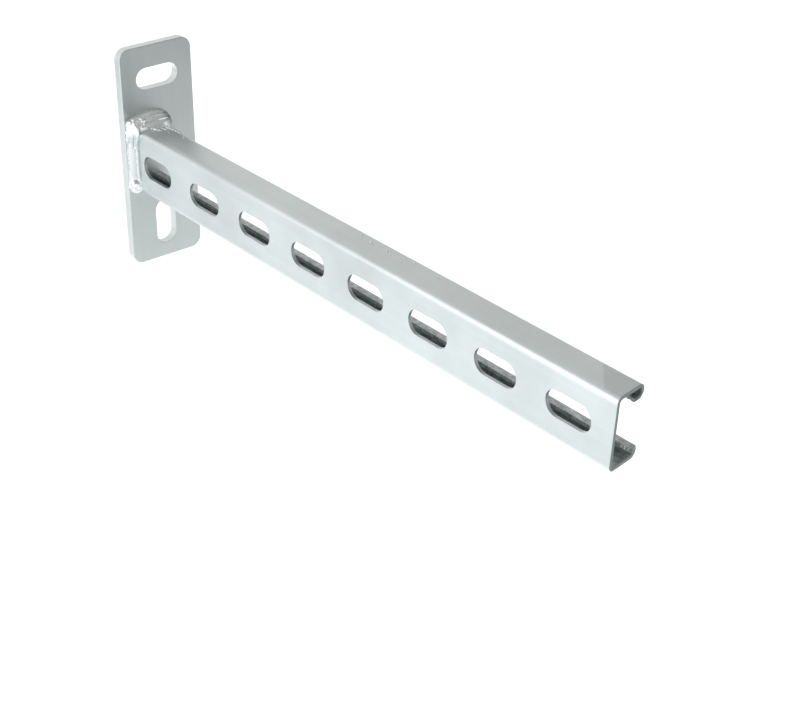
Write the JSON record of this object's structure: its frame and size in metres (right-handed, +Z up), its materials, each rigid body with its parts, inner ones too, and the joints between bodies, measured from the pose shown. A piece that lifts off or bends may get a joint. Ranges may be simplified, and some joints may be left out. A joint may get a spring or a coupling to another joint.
{
  "type": "cantilever strut arm",
  "caption": "Cantilever arm for cable tray and pipe: slotted strut channel with serrated lips, welded square to a slotted wall plate.",
  "frame": {"origin": "centre of the base plate's back face, where it meets the wall", "axes": "+X out along the arm away from the wall, +Z up, +Y towards the channel's open side"},
  "size_m": [0.4108, 0.05, 0.14],
  "materials": {
    "zinc_plate": "zinc plated flat bar, semi-gloss",
    "zinc_channel": "zinc plated rolled strip, semi-gloss",
    "weld_metal": "zinc plated weld bead, glossy"
  },
  "bodies": {
    "root": {"base_plate": "zinc_plate", "strut_channel": "zinc_channel", "weld_upper": "weld_metal", "weld_lower": "weld_metal"}
  },
  "joints": []
}
